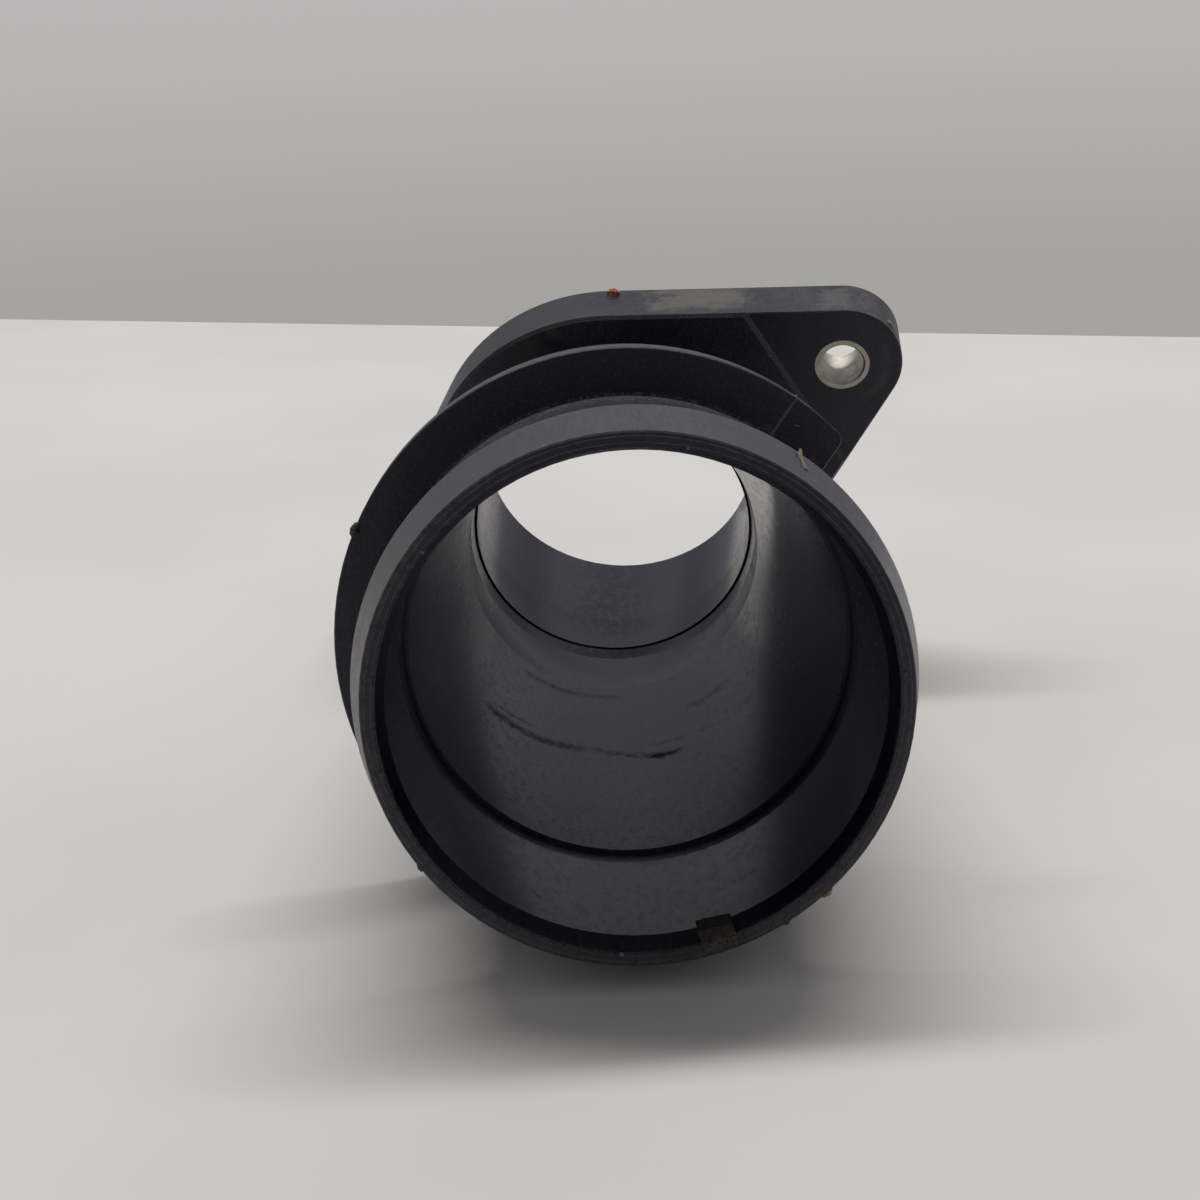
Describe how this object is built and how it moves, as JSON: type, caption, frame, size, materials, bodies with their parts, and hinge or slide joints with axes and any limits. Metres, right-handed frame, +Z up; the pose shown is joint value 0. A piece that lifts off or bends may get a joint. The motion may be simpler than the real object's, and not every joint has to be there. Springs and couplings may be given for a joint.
{
  "type": "turbocharger pipe",
  "caption": "Moulded black plastic turbocharger air pipe: round hose end with lip and part collar, tapering tube, slight elbow and oval two-ear bolt flange with metal bushes and seal.",
  "frame": {"origin": "on the table, under the middle of the whole part's bounding box", "axes": "+Z up as the pipe lies at rest on its neck and flange edge; +Y from the hose mouth towards the flange, along the table; +X to the right when looking into the hose mouth"},
  "size_m": [0.0872, 0.126, 0.0646],
  "materials": {
    "moulding": "black glass-filled nylon, satin as moulded, dusty and stained",
    "bush_steel": "rolled steel bush, dull with light yellowish tarnish",
    "seal_rubber": "black seal rubber, matt"
  },
  "bodies": {
    "root": {"pipe_body": "moulding", "upper_bush": "bush_steel", "lower_bush": "bush_steel", "flange_seal": "seal_rubber"}
  },
  "joints": []
}
